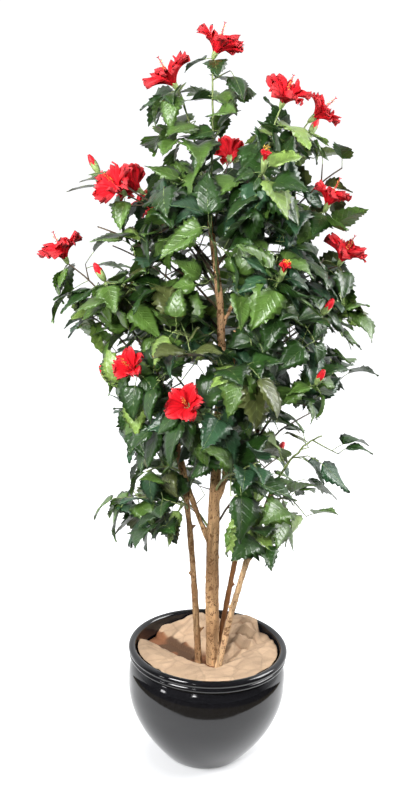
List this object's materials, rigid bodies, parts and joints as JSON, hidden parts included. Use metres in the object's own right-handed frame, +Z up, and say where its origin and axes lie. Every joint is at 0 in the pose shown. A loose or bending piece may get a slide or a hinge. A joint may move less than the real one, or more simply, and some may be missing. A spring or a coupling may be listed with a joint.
{
  "type": "artificial hibiscus tree",
  "caption": "Potted artificial hibiscus tree with silk leaves and red blooms on natural wood stems, for standing indoors or on a patio.",
  "frame": {"origin": "centre of the pot's flat underside", "axes": "+Z up along the trunk; -Y is the front, the side with the most blooms; +X is right seen from the front"},
  "size_m": [0.7896, 0.7068, 1.7249],
  "materials": {
    "glazed_pot": "high gloss black glaze",
    "plaster": "rough cast plaster",
    "kraft_paper": "matt, creased",
    "wood": "dry bark, matt",
    "dark_wood": "dry bark, matt",
    "foliage": "silk leaf with a soft sheen",
    "petal_red": "matt silk"
  },
  "bodies": {
    "root": {"pot": "glazed_pot", "planting_plug": "plaster", "kraft_paper": "kraft_paper", "trunk": "wood", "left_stem": "wood", "right_dark_stem": "dark_wood", "right_pale_stem": "wood", "left_bough": "wood", "right_bough": "wood", "upper_bough": "wood", "top_shoot": "foliage", "upper_left_shoot": "foliage", "upper_right_shoot": "foliage", "high_right_shoot": "foliage", "high_left_shoot": "foliage", "high_far_left_shoot": "foliage", "high_back_left_shoot": "foliage", "shoulder_right_shoot": "foliage", "right_shoot": "foliage", "far_left_shoot": "foliage", "left_front_shoot": "foliage", "centre_bud_shoot": "foliage", "right_front_shoot": "foliage", "left_cup_shoot": "foliage", "front_bloom_shoot": "foliage", "upper_front_shoot": "foliage", "right_low_shoot": "foliage", "left_mid_shoot": "foliage", "right_mid_shoot": "foliage", "left_low_shoot": "foliage", "right_lower_shoot": "foliage", "left_lower_shoot": "foliage", "lowest_left_shoot": "foliage", "lowest_front_left_shoot": "foliage", "lowest_front_right_shoot": "foliage", "lowest_right_shoot": "foliage", "left_high_shoot": "foliage", "upper_far_right_shoot": "foliage", "right_mid_low_shoot": "foliage", "front_low_shoot": "foliage", "front_mid_shoot": "foliage", "front_left_mid_shoot": "foliage", "front_high_shoot": "foliage", "back_shoot_1": "foliage", "back_shoot_2": "foliage", "back_shoot_3": "foliage", "back_shoot_4": "foliage", "back_shoot_5": "foliage", "back_shoot_6": "foliage", "back_shoot_7": "foliage", "back_shoot_8": "foliage", "back_shoot_9": "foliage", "back_shoot_10": "foliage", "back_shoot_11": "foliage", "back_shoot_12": "foliage", "back_shoot_13": "foliage", "back_shoot_14": "foliage"}
  },
  "joints": []
}
